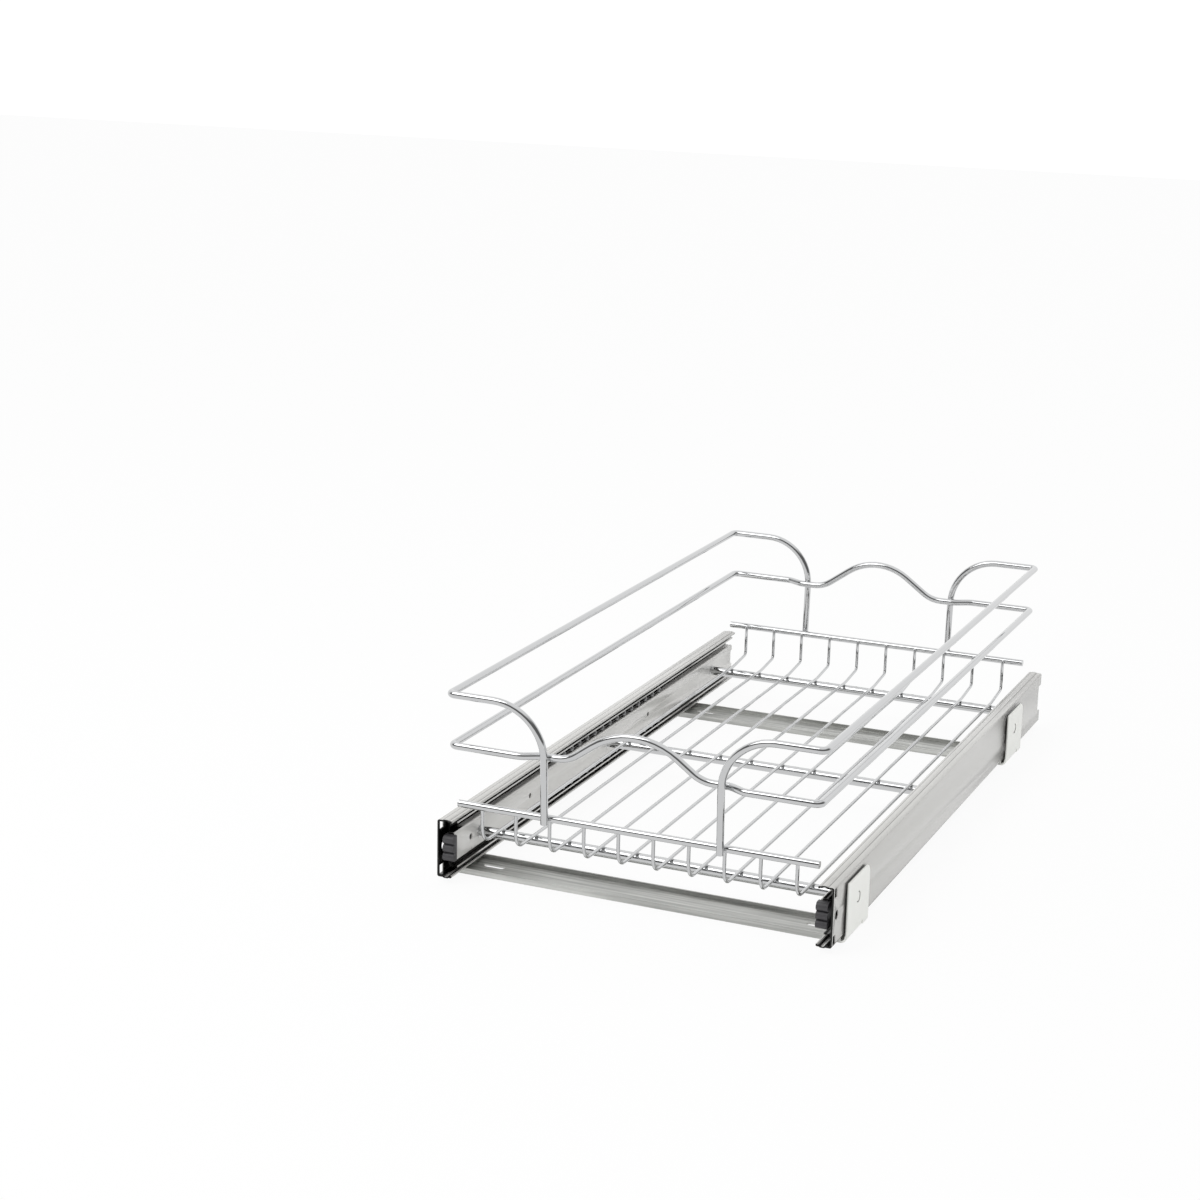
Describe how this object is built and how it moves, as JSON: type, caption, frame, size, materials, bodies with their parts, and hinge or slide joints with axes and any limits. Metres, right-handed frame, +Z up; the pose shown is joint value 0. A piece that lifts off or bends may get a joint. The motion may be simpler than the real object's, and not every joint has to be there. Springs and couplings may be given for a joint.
{
  "type": "pull-out wire basket",
  "caption": "Pull-out wire basket of bent rods and floor wires on two full-extension ball-bearing slides, joined by cross strips with slots for screwing to a cabinet floor.",
  "frame": {"origin": "middle of the footprint, on the underside of the cross strips", "axes": "+X to the right, +Y from the open front to the back of the cabinet, +Z up"},
  "size_m": [0.2918, 0.554, 0.1407],
  "materials": {
    "chrome_rod": "bright chrome plating",
    "zinc_steel": "bright zinc plating, satin",
    "galvanised_sheet": "galvanised sheet, satin",
    "cage_steel": "plain sheet steel",
    "ball_steel": "polished steel",
    "dark_plastic": "matt moulded plastic"
  },
  "bodies": {
    "cabinet_frame": {"front_cross_strip": "galvanised_sheet", "rear_cross_strip": "galvanised_sheet", "mounting_rivets": "galvanised_sheet", "outer_member_left": "zinc_steel", "outer_member_right": "zinc_steel"},
    "basket": {"inner_member_left": "zinc_steel", "inner_member_right": "zinc_steel", "end_plug_left": "dark_plastic", "end_plug_right": "dark_plastic", "side_hoop_left": "chrome_rod", "side_hoop_right": "chrome_rod", "middle_rail": "chrome_rod", "front_end_rail": "chrome_rod", "rear_end_rail": "chrome_rod", "cross_rod_front": "chrome_rod", "cross_rod_middle": "chrome_rod", "cross_rod_rear": "chrome_rod", "floor_wire_01": "chrome_rod", "floor_wire_02": "chrome_rod", "floor_wire_03": "chrome_rod", "floor_wire_04": "chrome_rod", "floor_wire_05": "chrome_rod", "floor_wire_06": "chrome_rod", "floor_wire_07": "chrome_rod", "floor_wire_08": "chrome_rod", "floor_wire_09": "chrome_rod", "floor_wire_10": "chrome_rod"},
    "intermediate_left": {"intermediate_member_left": "zinc_steel"},
    "small_cage_left": {"small_ball_cage_left": "cage_steel", "small_balls_left": "ball_steel"},
    "large_cage_left": {"large_ball_cage_left": "cage_steel", "large_balls_left": "ball_steel"},
    "intermediate_right": {"intermediate_member_right": "zinc_steel"},
    "small_cage_right": {"small_ball_cage_right": "cage_steel", "small_balls_right": "ball_steel"},
    "large_cage_right": {"large_ball_cage_right": "cage_steel", "large_balls_right": "ball_steel"}
  },
  "joints": [
    {"name": "basket_slide", "type": "slide", "parent": "cabinet_frame", "child": "basket", "axis": [0, -1, 0], "range_m": [0, 0.55]},
    {"name": "intermediate_left_slide", "type": "slide", "parent": "cabinet_frame", "child": "intermediate_left", "axis": [0, -1, 0], "range_m": [0, 0.275]},
    {"name": "small_cage_left_slide", "type": "slide", "parent": "cabinet_frame", "child": "small_cage_left", "axis": [0, -1, 0], "range_m": [0, 0.1375]},
    {"name": "large_cage_left_slide", "type": "slide", "parent": "cabinet_frame", "child": "large_cage_left", "axis": [0, -1, 0], "range_m": [0, 0.4125]},
    {"name": "intermediate_right_slide", "type": "slide", "parent": "cabinet_frame", "child": "intermediate_right", "axis": [0, -1, 0], "range_m": [0, 0.275]},
    {"name": "small_cage_right_slide", "type": "slide", "parent": "cabinet_frame", "child": "small_cage_right", "axis": [0, -1, 0], "range_m": [0, 0.1375]},
    {"name": "large_cage_right_slide", "type": "slide", "parent": "cabinet_frame", "child": "large_cage_right", "axis": [0, -1, 0], "range_m": [0, 0.4125]}
  ],
  "couplings": [
    {"joint": "intermediate_left_slide", "follows": "basket_slide", "ratio": 0.5},
    {"joint": "small_cage_left_slide", "follows": "basket_slide", "ratio": 0.25},
    {"joint": "large_cage_left_slide", "follows": "basket_slide", "ratio": 0.75},
    {"joint": "intermediate_right_slide", "follows": "basket_slide", "ratio": 0.5},
    {"joint": "small_cage_right_slide", "follows": "basket_slide", "ratio": 0.25},
    {"joint": "large_cage_right_slide", "follows": "basket_slide", "ratio": 0.75}
  ]
}
